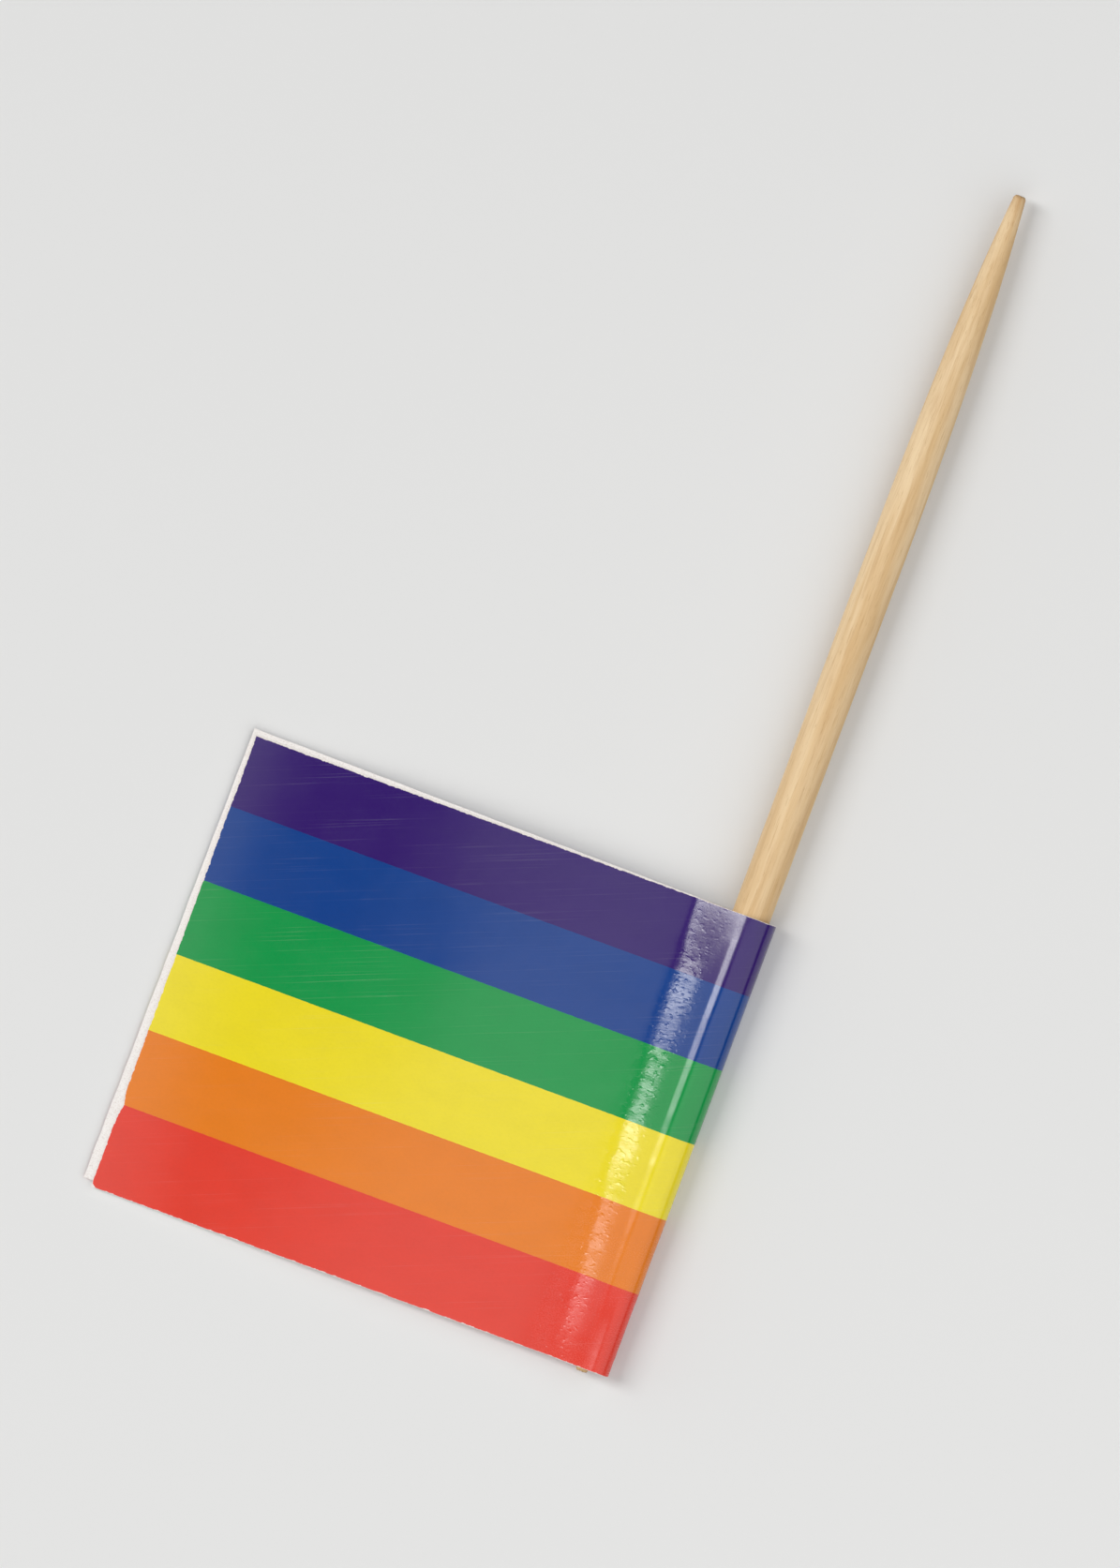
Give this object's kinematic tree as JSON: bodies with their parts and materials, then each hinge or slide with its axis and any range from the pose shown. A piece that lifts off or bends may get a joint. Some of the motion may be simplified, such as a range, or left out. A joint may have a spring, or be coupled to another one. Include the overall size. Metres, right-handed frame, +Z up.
{
  "type": "flag toothpick",
  "caption": "Double-pointed wooden pick with a small striped flag of folded paper glued round its upper end.",
  "frame": {"origin": "centre of the part's footprint on the table that it lies on", "axes": "+Z up from the table, +Y along the pick from its free point to the end that carries the flag, +X the way the flag flies"},
  "size_m": [0.0304, 0.068, 0.0025],
  "materials": {
    "wood": "plain sanded birch, fine lengthwise grain, no varnish",
    "printed_paper": "white coated paper with a glossy print of six stripes on its outside and bare white on its inside"
  },
  "bodies": {
    "root": {"pick": "wood", "flag": "printed_paper"}
  },
  "joints": []
}
